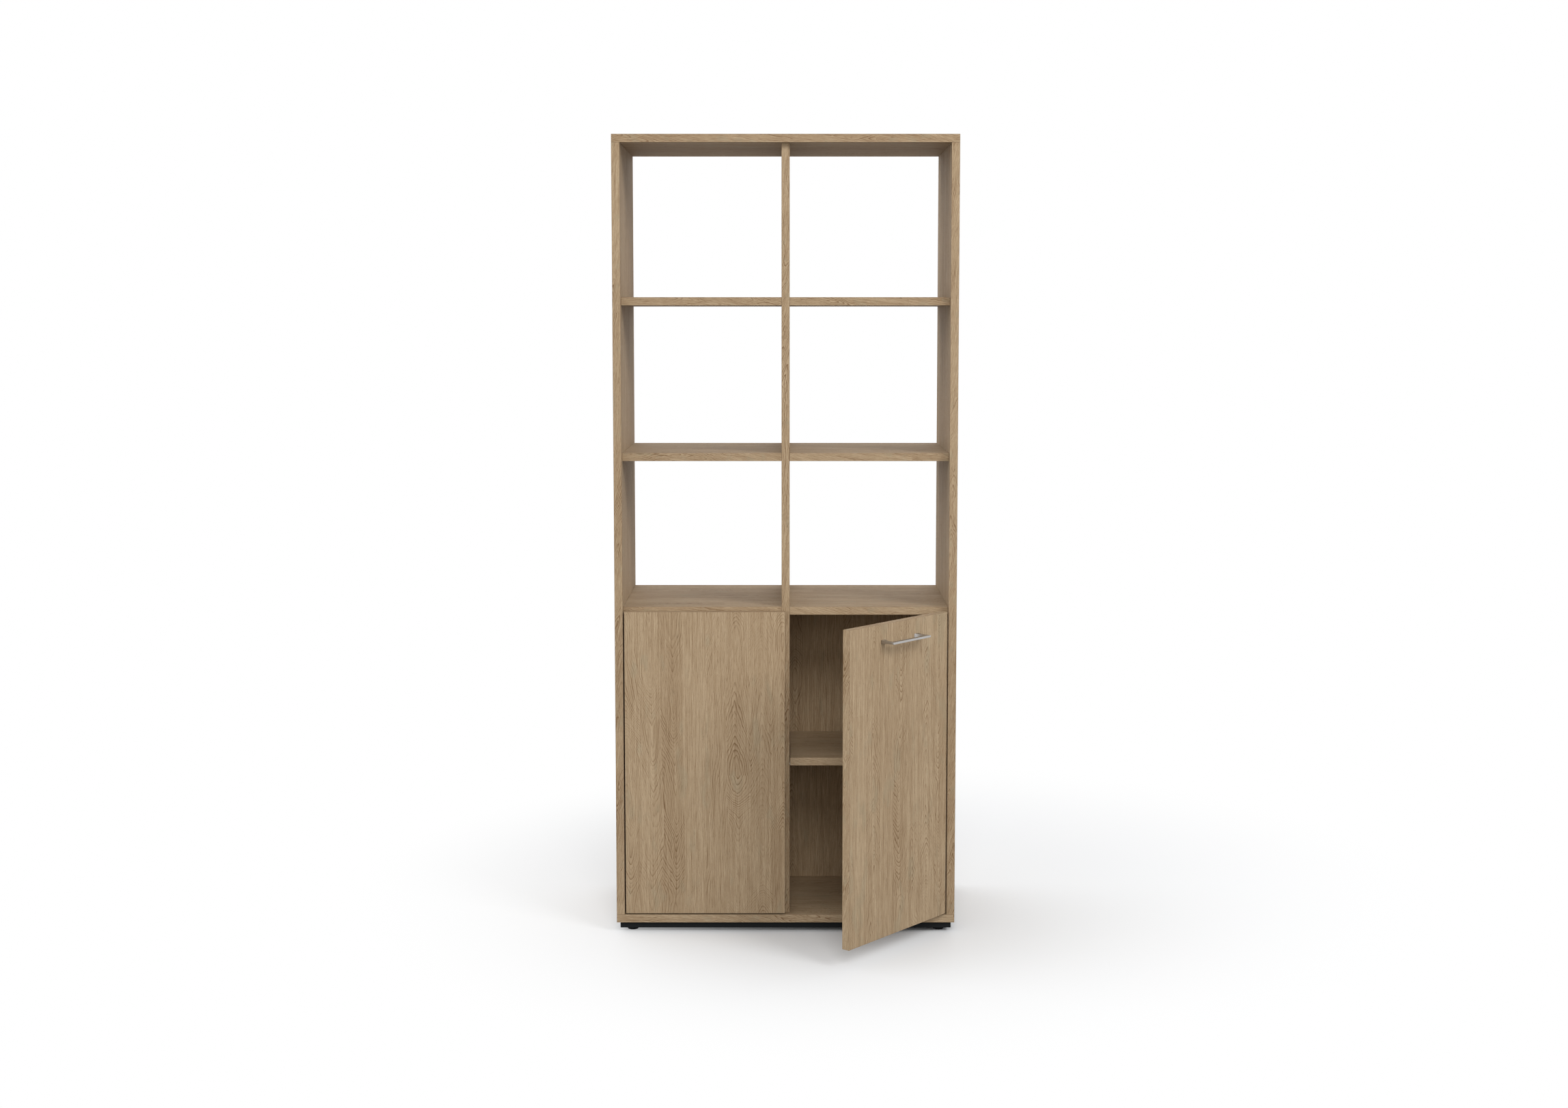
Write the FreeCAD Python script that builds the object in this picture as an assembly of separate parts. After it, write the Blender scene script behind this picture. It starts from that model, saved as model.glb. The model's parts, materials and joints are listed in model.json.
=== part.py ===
import FreeCAD, Part
import math
import os

# Bookcase with three open tiers over a two-door cabinet, in millimetres.
# +X is the viewer's right, +Y is the back and +Z is up. The right door stands part open.
# The origin is on the floor, at the middle of the box round the bookcase and its open door.

# Carcass boards
width = 800.0
depth = 420.0
height = 1871.5          # from the floor to the top
board = 19.0
end_clear = 353.0        # clear height of the lowest and the highest tier
edge_round = 0.5

# Loose shelves and back panels inside the cabinet
loose_setback = 8.0      # front edge of a loose shelf, behind the partition's
loose_gap = 1.0          # beside and behind a loose shelf
back_recess = 69.0       # from the back plane to the back panels
back_thick = 8.0
groove = 6.0             # depth of the grooves round a back panel
groove_end = 0.5         # from a panel's edge to the bottom of its groove
groove_gap = 0.1         # before and behind a panel in its groove

# Shelf pins
pin_dia = 5.0
pin_web = 3.0            # board left between the pins on both sides of the partition
pin_head_dia = 8.0
pin_head_long = 9.0
pin_flat = 1.0           # cut off the top of a head, as the shelf's seat
pin_inset = 37.0         # from the ends of the loose shelf's depth to a pin

# Dowels
dowel_dia = 8.0
dowel_skin = 7.0         # board left beyond a dowel in its face
dowel_in_end = 22.0      # dowel length in a board's end
dowel_gap = 0.1          # round the dowel, and at each end
dowel_inset = 60.0       # outer dowels, from the ends of the joint

# Doors
door_thick = 19.0
door_clear = 1.0         # from a closed door's back to the partition
reveal = 3.0             # gap beside and below a door
half_gap = 1.5           # from a door's free edge to the middle of the bookcase
door_lap = 9.5           # how far a door covers the front edge of the cabinet top
rest_open = 51.0         # opening of the right door, degrees

# Handle
handle_long = 144.0
handle_out = 35.0        # outer face of the grip bar, from the door
bar_high = 5.0
bar_deep = 10.0
bar_round = 1.0
leg_long = 17.0          # foot of a leg on the door, along the bar
leg_high = 9.5
leg_top_long = 11.0      # the same leg where it joins the bar
hole_pitch = 128.0
handle_drop = 40.0       # from the door's top edge to the middle of the bar
handle_screw_dia = 4.0
screw_in_leg = 12.0

# Concealed hinges
hinge_end = 100.0        # from the door's top or bottom edge to a hinge
cup_dia = 35.0
cup_deep = 11.5
cup_edge = 5.0           # wood between the cup and the door's edge
cup_gap = 0.05           # round the cup in its bore
cup_wall = 1.0
cup_lip = 1.0            # how far the flange covers the door round the cup
flange = 1.2
flange_wing = 7.0        # half the width of the wings that hold the screws
flange_reach = 26.0      # from the cup's middle to a flange screw
link_pin_dia = 3.0
run_gap = 0.05           # radial clearance of every pin that turns
link_round = 2.5         # half the width of a link
side_gap = 0.3           # between plates that slide past each other
nose_high = 10.0         # height of the arm's nose, inside the links
arm_link_plate = 1.5
cup_link_plate = 1.5
ear_plate = 1.5
ear_wall = 1.5
arm_pin_in = 3.5         # arm's pivot, from the cup's middle away from the door's edge
arm_pin_back = 3.0       # arm's pivot, behind the door
cup_pin_out = 8.5        # cup's pivot, from the cup's middle towards the door's edge
cup_pin_sunk = 4.0       # cup's pivot, below the door's back face
neck_along = 9.0         # bend of the cup's link, along and beside the link's line
neck_aside = 5.0
plate_line = 37.0        # plate's screws, behind the door's back face
plate_pitch = 32.0
plate_thick = 2.5
plate_wing = 48.0
plate_band = 12.0
plate_round = 3.0
rib_long = 48.0
rib_shift = 4.0          # rib's middle, behind the plate's screws
rib_rise = 9.0
rib_high = 10.0
rib_round = 1.0
arm_sheet = 2.0
arm_side_gap = 1.0       # between the rib and the arm's flanks
arm_round = 1.5
arm_pin_wall = 1.7

# Screws
cup_screw_dia = 3.5
cup_screw_long = 13.0
plate_screw_dia = 4.0
plate_screw_long = 13.0
arm_screw_dia = 4.0
arm_fixing = 6.0         # arm's fixing screw, ahead of the plate's screws
arm_adjusting = 16.0     # arm's adjusting screw, behind the plate's screws
arm_screw_end = 1.0      # from the tip of an arm's screw to the side board
head_ratio = 1.9         # head diameter over shank diameter
head_high = 1.8
head_round = 0.6
slot_wide = 0.8          # cross recess in a head
slot_long = 4.4
slot_deep = 0.9
screw_gap = 0.05         # round every screw's shank
tip_gap = 0.1            # beyond the tip of a screw or pin

# Steel base and levelling feet
base_inset = 8.0
tube = 15.0
tube_wall = 1.5
tube_round = 1.5
corner_plate = 34.0
corner_thick = 3.0
bush_dia = 14.0
bush_clear = 3.0         # from the top of a bush and its stem to the carcass
foot_from_tube = 13.0    # from the tubes' inner faces to a foot's middle
foot_dia = 26.0
foot_disc = 6.0
foot_round = 1.2
stem_dia = 8.0
nut_flats = 13.0
nut_high = 2.8
nut_gap = 0.2            # between a foot's nut and the base, screwed right in
base_screw_dia = 4.0
base_screw_long = 14.0
screw_inset_x = 150.0    # from the carcass's ends to the screws of the long rails
screw_inset_y = 110.0    # from its front and back to the screws of the short rails
access_dia = 9.0

# Places worked out from the sizes above
half = width / 2
inner_x = half - board
door_wide = inner_x - reveal - half_gap
hinge_x = inner_x - reveal
swing = door_wide * math.sin(math.radians(rest_open))
front = (swing - depth) / 2
back = front + depth
middle_y = (front + back) / 2
shelf_front = front + door_thick + door_clear
loose_front = shelf_front + loose_setback
foot_show = foot_disc + nut_high + nut_gap
carcass_z = foot_show + tube
tier_clear = (height - carcass_z - 6 * board - 2 * end_clear) / 3   # three tiers between the end ones
loose_z = carcass_z + board + end_clear
cabinet_z = loose_z + board + tier_clear
middle_z = cabinet_z + board + tier_clear
upper_z = middle_z + board + tier_clear
top_z = upper_z + board + end_clear
floor_z = carcass_z + board
door_low = floor_z + reveal
door_top = cabinet_z + door_lap
cup_u = cup_edge + cup_dia / 2
hinge_levels = {"lower": door_low + hinge_end, "upper": door_top - hinge_end}
panel_front = back - back_recess - back_thick
dowel_in_face = board - dowel_skin
pin_depth = (board - pin_web) / 2
pin_z = loose_z - pin_head_dia / 2 + pin_flat
plate_y = front + door_thick + plate_line
arm_screw_lines = (plate_y - arm_fixing, plate_y + arm_adjusting)
arm_x = inner_x - rib_rise - side_gap
arm_half = rib_high / 2 + arm_side_gap + arm_sheet
arm_front = plate_y + rib_shift - rib_long / 2
arm_back = arm_front + rib_long
shelf_levels = {"upper_shelf": upper_z, "middle_shelf": middle_z, "cabinet_top": cabinet_z}

UP = FreeCAD.Vector(0, 0, 1)
RIGHT = FreeCAD.Vector(1, 0, 0)
AFT = FreeCAD.Vector(0, 1, 0)
parts = {}


def keep(name, shapes):
    """Stores one node: a single solid, or a group of separate solids."""
    group = shapes if isinstance(shapes, list) else [shapes]
    parts.setdefault(name, []).extend(group)


def block(x0, x1, y0, y1, z0, z1):
    return Part.makeBox(x1 - x0, y1 - y0, z1 - z0, FreeCAD.Vector(x0, y0, z0))


def rod(dia, length, x, y, z, direction):
    return Part.makeCylinder(dia / 2, length, FreeCAD.Vector(x, y, z), direction)


def cut(solid, tools):
    return solid.cut(tools) if tools else solid


def fuse(solids):
    return solids[0].fuse(solids[1:]).removeSplitter()


def eased(solid):
    """A board with its edges just broken, as edging tape leaves them."""
    return solid.makeFillet(edge_round, solid.Edges)


def mirrored(solid):
    return solid.mirror(FreeCAD.Vector(0, 0, 0), RIGHT)


def sided(solid, side):
    """A right-hand piece, or its mirror image for the left."""
    return solid if side == "right" else mirrored(solid)


def dowel_rows():
    """The three places, front to back, of the dowels in every joint."""
    return (shelf_front + dowel_inset, (shelf_front + back) / 2, back - dowel_inset)


def end_dowel(x, y, z, direction, grow=0.0):
    """A dowel from a board's end, at x, y, z, into the face that the end meets."""
    start = FreeCAD.Vector(x, y, z) - direction * (dowel_in_end + grow)
    length = dowel_in_end + dowel_in_face + 2 * grow
    return Part.makeCylinder(dowel_dia / 2 + grow, length, start, direction)


def through_dowel(y, z, grow=0.0):
    """A long dowel through the partition, into the shelf ends on both sides."""
    length = board + 2 * (dowel_in_end + grow)
    return rod(dowel_dia + 2 * grow, length, -length / 2, y, z, RIGHT)


def joint_dowels(grow=0.0):
    """Every dowel that ends in a board's face."""
    dowels = []
    for y in dowel_rows():
        for x in (-(half - board / 2), 0.0, half - board / 2):
            dowels.append(end_dowel(x, y, top_z, UP, grow))
            dowels.append(end_dowel(x, y, floor_z, -UP, grow))
        for z in shelf_levels.values():
            dowels.append(end_dowel(inner_x, y, z + board / 2, RIGHT, grow))
            dowels.append(end_dowel(-inner_x, y, z + board / 2, -RIGHT, grow))
    return dowels


def long_dowels(grow=0.0):
    return [through_dowel(y, z + board / 2, grow) for y in dowel_rows() for z in shelf_levels.values()]


def back_panel(reach=groove - groove_end, grow=0.0):
    """The right-hand back panel, whose edges reach into grooves all round."""
    return block(
        board / 2 - reach,
        inner_x + reach,
        panel_front - grow,
        panel_front + back_thick + grow,
        floor_z - reach,
        cabinet_z + reach,
    )


def panel_grooves():
    slot = back_panel(groove, groove_gap)
    return [slot, mirrored(slot)]


def pin_rows():
    """The two places, front to back, of the pins under a loose shelf."""
    return (loose_front + pin_inset, panel_front - loose_gap - pin_inset)


def shelf_pin(x, y, direction):
    """A shelf pin: a peg in the board's face, and a head with a flat seat for the shelf."""
    peg = rod(pin_dia, pin_depth, x, y, pin_z, -direction)
    head = rod(pin_head_dia, pin_head_long, x, y, pin_z, direction)
    above = block(
        x - pin_head_long,
        x + pin_head_long,
        y - pin_head_dia,
        y + pin_head_dia,
        loose_z,
        loose_z + pin_head_dia,
    )
    return fuse([peg, head.cut(above)])


def shelf_pins():
    """The eight pins, four in each cabinet compartment."""
    pins = []
    for y in pin_rows():
        for x, direction in ((inner_x, -RIGHT), (board / 2, RIGHT)):
            pin = shelf_pin(x, y, direction)
            pins.extend([pin, mirrored(pin)])
    return pins


def pin_bores():
    bores = []
    for y in pin_rows():
        for x, direction in ((inner_x, RIGHT), (board / 2, -RIGHT)):
            bore = rod(pin_dia + 2 * screw_gap, pin_depth + tip_gap, x, y, pin_z, direction)
            bores.extend([bore, mirrored(bore)])
    return bores


def cross_recess():
    """The recess in a screw's head, for a head that sits on the floor of the XY plane."""
    low = head_high - slot_deep
    slot = block(-slot_long / 2, slot_long / 2, -slot_wide / 2, slot_wide / 2, low, head_high)
    return [slot, slot.rotated(FreeCAD.Vector(0, 0, 0), UP, 90)]


def screw(dia, length, x, y, z, direction):
    """A pan-head screw whose head sits on the face at x, y, z."""
    shank = rod(dia, length, 0, 0, -length, UP)
    head = rod(dia * head_ratio, head_high, 0, 0, 0, UP)
    rim = [edge for edge in head.Edges if edge.BoundBox.ZMin > head_high / 2]
    made = fuse([shank, head.makeFillet(head_round, rim)]).cut(cross_recess())
    made.Placement = FreeCAD.Placement(FreeCAD.Vector(x, y, z), FreeCAD.Rotation(UP, -direction))
    return made


def screw_bore(dia, length, x, y, z, direction):
    return rod(dia + 2 * screw_gap, length + tip_gap, x, y, z, direction)


def carcass():
    """The glued shell: top, bottom, sides, partition, fixed shelves and back panels."""
    bores = joint_dowels(dowel_gap)
    through = long_dowels(dowel_gap)
    grooves = panel_grooves()
    pins = pin_bores()
    top = eased(block(-half, half, front, back, top_z, top_z + board))
    keep("top_board", cut(top, bores))
    bottom = eased(block(-half, half, front, back, carcass_z, floor_z))
    keep("bottom_board", cut(bottom, bores + grooves + base_screws(bore=True)))
    side = eased(block(inner_x, half, front, back, floor_z, top_z))
    keep("side_right", cut(side, bores + grooves + pins + plate_bores()))
    left = eased(block(-half, -inner_x, front, back, floor_z, top_z))
    keep("side_left", cut(left, bores + grooves + pins + plate_bores()))
    middle = eased(block(-board / 2, board / 2, shelf_front, back, floor_z, top_z))
    keep("centre_partition", cut(middle, bores + through + grooves + pins))
    for name, z in shelf_levels.items():
        shelf = eased(block(board / 2, inner_x, shelf_front, back, z, z + board))
        tools = bores + through + (grooves if name == "cabinet_top" else [])
        keep(name + "_right", cut(shelf, tools))
        keep(name + "_left", cut(mirrored(shelf), tools))
    keep("back_panel_right", back_panel())
    keep("back_panel_left", mirrored(back_panel()))
    keep("dowels", joint_dowels())
    keep("partition_dowels", long_dowels())


def loose_shelves():
    shelf = eased(block(
        board / 2 + loose_gap,
        inner_x - loose_gap,
        loose_front,
        panel_front - loose_gap,
        loose_z,
        loose_z + board,
    ))
    keep("loose_shelf_right", shelf)
    keep("loose_shelf_left", mirrored(shelf))
    keep("shelf_pins", shelf_pins())


def spot(u, v, z=0.0):
    """A point by its place on the closed right door: u from the hinge edge, v behind the front."""
    return FreeCAD.Vector(hinge_x - u, front + v, z)


def opened(solid, side):
    """Turns a piece of a right-hand door about its front corner, to how it stands at rest."""
    angle = rest_open if side == "right" else 0.0
    return sided(solid.rotate(spot(0, 0), UP, angle), side)


def upright(dia, u, v, z0, z1):
    """A vertical rod at a place on the closed right door."""
    return Part.makeCylinder(dia / 2, z1 - z0, spot(u, v, z0), UP)


def strap(points, radius, z0, z1):
    """A flat bar with round ends and bends, along points given as u and v."""
    solids = [upright(2 * radius, u, v, z0, z1) for u, v in points]
    for (u0, v0), (u1, v1) in zip(points, points[1:]):
        length = math.hypot(u1 - u0, v1 - v0)
        bar = Part.makeBox(length, 2 * radius, z1 - z0, FreeCAD.Vector(0, -radius, 0))
        bar.rotate(FreeCAD.Vector(0, 0, 0), UP, math.degrees(math.atan2(v1 - v0, u0 - u1)))
        bar.translate(spot(u0, v0, z0))
        solids.append(bar)
    return fuse(solids)


def cheeks(points, radius, z, inner, plate):
    """Two like straps, above and below the hinge's middle."""
    above = strap(points, radius, z + inner, z + inner + plate)
    below = strap(points, radius, z - inner - plate, z - inner)
    return [above, below]


# The two pivots, and the two links that keep the door turning about its own front corner: the
# corner, the arm's pivot, the elbow and the cup's pivot are the corners of a parallelogram.
arm_pin = (cup_u + arm_pin_in, door_thick + arm_pin_back)
cup_pin = (cup_u - cup_pin_out, door_thick - cup_pin_sunk)
elbow = (arm_pin[0] + cup_pin[0], arm_pin[1] + cup_pin[1])
arm_link_in = nose_high / 2 + side_gap
arm_pin_half = arm_link_in + arm_link_plate + side_gap / 2
cup_link_in = arm_pin_half + side_gap
cup_link_out = cup_link_in + cup_link_plate
ear_in = cup_link_out + side_gap
turning_dia = link_pin_dia + 2 * run_gap


def neck_point():
    """The bend of the cup's link, which carries it round the cup's rim when the door is open."""
    span = math.hypot(*arm_pin)
    along = (arm_pin[0] / span, arm_pin[1] / span)
    return (
        cup_pin[0] + neck_along * along[0] + neck_aside * along[1],
        cup_pin[1] + neck_along * along[1] - neck_aside * along[0],
    )


def cup(z):
    """A hinge cup with its flange and the two ears that hold the pivot pin."""
    x = hinge_x - cup_u
    back_y = front + door_thick
    floor_y = back_y - cup_deep
    low = z - flange_reach
    high = z + flange_reach
    shell = rod(cup_dia - 2 * cup_gap, cup_deep, x, floor_y, z, AFT)
    lip = rod(cup_dia + 2 * cup_lip, flange, x, back_y, z, AFT)
    wings = block(x - flange_wing, x + flange_wing, back_y, back_y + flange, low, high)
    ends = [rod(2 * flange_wing, flange, x, back_y, end, AFT) for end in (low, high)]
    hollow = rod(cup_dia - 2 * cup_wall, cup_deep + flange, x, floor_y + cup_wall, z, AFT)
    body = fuse([shell, lip, wings] + ends).cut(hollow)
    ear_round = link_pin_dia / 2 + ear_wall
    x0 = hinge_x - cup_pin[0] - ear_round
    ears = []
    for z0 in (z + ear_in, z - ear_in - ear_plate):
        z1 = z0 + ear_plate
        foot = block(x0, x0 + 2 * ear_round, floor_y + cup_wall / 2, front + cup_pin[1], z0, z1)
        ears.extend([foot.common(shell), upright(2 * ear_round, *cup_pin, z0, z1)])
    bores = [upright(link_pin_dia, *cup_pin, z - cup_dia, z + cup_dia)]
    for end in (low, high):
        bores.append(rod(cup_screw_dia + 2 * screw_gap, 3 * flange, x, back_y - flange, end, AFT))
    return fuse([body] + ears).cut(bores)


def cup_screws(z, make):
    """The two screws of a flange, or with screw_bore their holes."""
    sunk = flange if make is screw else 0.0
    length = cup_screw_long - flange + sunk
    face = front + door_thick + sunk
    steps = (-flange_reach, flange_reach)
    return [make(cup_screw_dia, length, hinge_x - cup_u, face, z + step, -AFT) for step in steps]


def cup_link(z):
    """The bent link: its barrel turns on the cup's pin and its forks hold the elbow pin."""
    forks = cheeks([cup_pin, neck_point(), elbow], link_round, z, cup_link_in, cup_link_plate)
    barrel = upright(2 * link_round, *cup_pin, z - cup_link_in, z + cup_link_in)
    bores = [upright(turning_dia, *place, z - cup_dia, z + cup_dia) for place in (cup_pin, elbow)]
    return fuse(forks + [barrel]).cut(bores)


def arm_link(z):
    """The straight link: two plates on the arm's pin, riveted to the elbow pin."""
    plates = cheeks([arm_pin, elbow], link_round, z, arm_link_in, arm_link_plate)
    bore = upright(turning_dia, *arm_pin, z - cup_dia, z + cup_dia)
    reach = cup_link_out + side_gap
    rivet = upright(link_pin_dia, *elbow, z - reach, z + reach)
    return fuse([plate.cut(bore) for plate in plates] + [rivet])


def hinge_plate(z):
    """The plate on the side board: two wings with screws, and the rib that carries the arm."""
    wings = block(
        inner_x - plate_thick,
        inner_x,
        plate_y - plate_band / 2,
        plate_y + plate_band / 2,
        z - plate_wing / 2,
        z + plate_wing / 2,
    )
    corners = [edge for edge in wings.Edges if edge.BoundBox.XLength > plate_thick / 2]
    wings = wings.makeFillet(plate_round, corners)
    rib = block(inner_x - rib_rise, inner_x, arm_front, arm_back, z - rib_high / 2, z + rib_high / 2)
    outer = [edge for edge in rib.Edges if edge.CenterOfMass.x < inner_x - rib_rise / 2]
    rib = rib.makeFillet(rib_round, outer)
    bores = arm_screws(z, screw_bore)
    for step in (-plate_pitch / 2, plate_pitch / 2):
        start = inner_x - 2 * plate_thick
        bores.append(rod(plate_screw_dia + 2 * screw_gap, 3 * plate_thick, start, plate_y, z + step, RIGHT))
    return fuse([wings, rib]).cut(bores)


def plate_screws(z, make):
    """The two screws of a plate in the side board, or with screw_bore their holes."""
    sunk = plate_thick if make is screw else 0.0
    length = plate_screw_long - plate_thick + sunk
    steps = (-plate_pitch / 2, plate_pitch / 2)
    return [make(plate_screw_dia, length, inner_x - sunk, plate_y, z + step, RIGHT) for step in steps]


def plate_bores():
    bores = []
    for z in hinge_levels.values():
        for bore in plate_screws(z, screw_bore):
            bores.extend([bore, mirrored(bore)])
    return bores


def arm_screws(z, make):
    """The fixing and the adjusting screw that hold an arm on its rib."""
    face = arm_x - arm_sheet
    length = inner_x - arm_screw_end - face
    return [make(arm_screw_dia, length, face, y, z, RIGHT) for y in arm_screw_lines]


def hinge_arm(z):
    """The arm: a channel over the plate's rib, and a neck and nose out to the pivot."""
    face = arm_x - arm_sheet
    low = z - arm_half
    high = z + arm_half
    channel = block(face, inner_x - plate_thick - side_gap, arm_front, arm_back, low, high)
    outer = [edge for edge in channel.Edges if edge.CenterOfMass.x < arm_x]
    channel = channel.makeFillet(arm_round, outer)
    inside = block(
        arm_x,
        inner_x,
        arm_front - arm_sheet,
        arm_back + arm_sheet,
        low + arm_sheet,
        high - arm_sheet,
    )
    nose_round = link_pin_dia / 2 + arm_pin_wall
    root = (hinge_x - arm_x + nose_round, arm_front - front + nose_round)
    neck = strap([arm_pin, root], nose_round, z - nose_high / 2, z + nose_high / 2)
    bores = [upright(link_pin_dia, *arm_pin, z - cup_dia, z + cup_dia)]
    for y in arm_screw_lines:
        bores.append(rod(arm_screw_dia + 2 * screw_gap, rib_rise, face - arm_sheet, y, z, RIGHT))
    return fuse([channel.cut(inside), neck]).cut(bores)


def link_shift(side):
    """How far the cup's link has moved from its place at a closed door. It never turns."""
    angle = math.radians(rest_open if side == "right" else 0.0)
    u, v = cup_pin
    du = u * math.cos(angle) + v * math.sin(angle) - u
    dv = v * math.cos(angle) - u * math.sin(angle) - v
    return FreeCAD.Vector(-du, dv, 0)


def hinges(side):
    """Both hinges of one door."""
    angle = rest_open if side == "right" else 0.0
    for level, z in hinge_levels.items():
        keep(f"hinge_cup_{level}_{side}", opened(cup(z), side))
        keep(f"hinge_arm_{level}_{side}", sided(hinge_arm(z), side))
        keep(f"hinge_plate_{level}_{side}", sided(hinge_plate(z), side))
        link = arm_link(z).rotate(spot(*arm_pin), UP, angle)
        keep(f"hinge_arm_links_{side}", sided(link, side))
        link = cup_link(z)
        link.translate(link_shift(side))
        keep(f"hinge_cup_links_{side}", sided(link, side))
        pin = upright(link_pin_dia, *arm_pin, z - arm_pin_half, z + arm_pin_half)
        keep("hinge_arm_pins", sided(pin, side))
        reach = ear_in + ear_plate
        pin = upright(link_pin_dia, *cup_pin, z - reach, z + reach)
        keep(f"hinge_cup_pins_{side}", opened(pin, side))
        keep(f"hinge_cup_screws_{side}", [opened(s, side) for s in cup_screws(z, screw)])
        keep("hinge_plate_screws", [sided(s, side) for s in plate_screws(z, screw)])
        keep("hinge_arm_screws", [sided(s, side) for s in arm_screws(z, screw)])


def handle_places():
    """The two handle holes: u from the hinge edge, and the height of the bar's middle."""
    middle = door_wide / 2
    return (middle - hole_pitch / 2, middle + hole_pitch / 2), door_top - handle_drop


def leg_section(outer_u, inner_u, v, high, z):
    """The outline of a handle's leg at one distance from the door."""
    corners = [
        spot(outer_u, v, z - high / 2),
        spot(inner_u, v, z - high / 2),
        spot(inner_u, v, z + high / 2),
        spot(outer_u, v, z + high / 2),
    ]
    return Part.makePolygon(corners + corners[:1])


def handle():
    """A bow handle: a flat grip bar on two legs that widen towards the door."""
    holes, z = handle_places()
    start = spot((door_wide + handle_long) / 2, -handle_out, z - bar_high / 2)
    bar = Part.makeBox(handle_long, bar_deep, bar_high, start)
    solids = [bar.makeFillet(bar_round, bar.Edges)]
    joined = bar_deep / 2 - handle_out
    for outward in (-1, 1):
        outer_u = (door_wide + outward * handle_long) / 2
        on_door = leg_section(outer_u, outer_u - outward * leg_long, 0.0, leg_high, z)
        in_bar = leg_section(outer_u, outer_u - outward * leg_top_long, joined, bar_high, z)
        solids.append(Part.makeLoft([on_door, in_bar], True, True))
    dia = handle_screw_dia + 2 * screw_gap
    bores = [rod(dia, screw_in_leg + tip_gap, hinge_x - u, front, z, -AFT) for u in holes]
    return fuse(solids).cut(bores)


def handle_screws(make):
    """The two screws through the door into the handle's legs, or their holes in the door."""
    holes, z = handle_places()
    length = door_thick + (screw_in_leg if make is screw else 0.0)
    return [make(handle_screw_dia, length, hinge_x - u, front + door_thick, z, -AFT) for u in holes]


def door(side):
    """A door with the bores for its two cups, and for the handle on the right one."""
    solid = eased(block(hinge_x - door_wide, hinge_x, front, front + door_thick, door_low, door_top))
    bores = []
    for z in hinge_levels.values():
        start = front + door_thick - cup_deep - tip_gap
        bores.append(rod(cup_dia, cup_deep + flange, hinge_x - cup_u, start, z, AFT))
        bores += cup_screws(z, screw_bore)
    if side == "right":
        bores += handle_screws(screw_bore)
    keep(f"door_{side}", opened(solid.cut(bores), side))


def doors():
    for side in ("left", "right"):
        door(side)
        hinges(side)
    keep("door_handle", opened(handle(), "right"))
    keep("handle_screws", [opened(s, "right") for s in handle_screws(screw)])


def mitred(length, y0, inset):
    """A bar with mitred ends, a tube's outside or, set in by its wall, its inside."""
    x = length / 2
    near = y0 + inset
    far = y0 + tube - inset
    z = foot_show + inset
    corners = [
        FreeCAD.Vector(-x + inset, near, z),
        FreeCAD.Vector(x - inset, near, z),
        FreeCAD.Vector(x - tube + inset, far, z),
        FreeCAD.Vector(-x + tube - inset, far, z),
    ]
    face = Part.Face(Part.makePolygon(corners + corners[:1]))
    return face.extrude(UP * (tube - 2 * inset))


def rail(length, y0):
    """A tube of the base along X, outer face at y0, with mitred ends."""
    outer = mitred(length, y0, 0.0)
    long_edges = [edge for edge in outer.Edges if edge.BoundBox.XLength > length / 2]
    outer = outer.makeFillet(tube_round, long_edges)
    return outer.cut(mitred(length, y0, tube_wall))


def rails():
    """The four rails of the welded base, by name."""
    long = width - 2 * base_inset
    short = depth - 2 * base_inset
    centre = FreeCAD.Vector(0, middle_y, 0)
    made = {
        "front": (rail(long, front + base_inset), 0.0),
        "back": (rail(long, front + base_inset), 180.0),
        "right": (rail(short, middle_y - long / 2), 90.0),
        "left": (rail(short, middle_y - long / 2), -90.0),
    }
    return {name: solid.rotate(centre, UP, angle) for name, (solid, angle) in made.items()}


def base_screw_places():
    """Two screws in each rail."""
    x = half - base_inset - tube / 2
    y = depth / 2 - base_inset - tube / 2
    places = []
    for side in (-1, 1):
        for end in (-1, 1):
            places.append((side * (half - screw_inset_x), middle_y + end * y))
            places.append((side * x, middle_y + end * (depth / 2 - screw_inset_y)))
    return places


def base_screws(bore=False):
    """The screws up through the rails, with their heads inside the tubes, or their holes."""
    seat = carcass_z - tube_wall
    make = screw_bore if bore else screw
    return [make(base_screw_dia, base_screw_long, x, y, seat, UP) for x, y in base_screw_places()]


def foot_places():
    x = half - base_inset - tube - foot_from_tube
    y = depth / 2 - base_inset - tube - foot_from_tube
    return {
        "front_left": (-x, middle_y - y),
        "front_right": (x, middle_y - y),
        "back_left": (-x, middle_y + y),
        "back_right": (x, middle_y + y),
    }


def corner(x, y):
    """A corner plate of the base, with the threaded bush for a foot."""
    x1 = half - base_inset - tube
    y1 = back - base_inset - tube
    plate = block(x1 - corner_plate, x1, y1 - corner_plate, y1, foot_show, foot_show + corner_thick)
    if x < 0:
        plate = mirrored(plate)
    if y < middle_y:
        plate = plate.mirror(FreeCAD.Vector(0, middle_y, 0), AFT)
    bush = rod(bush_dia, tube - bush_clear, x, y, foot_show, UP)
    bore = rod(stem_dia + 2 * run_gap, 2 * tube, x, y, 0.0, UP)
    return fuse([plate, bush]).cut(bore)


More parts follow.
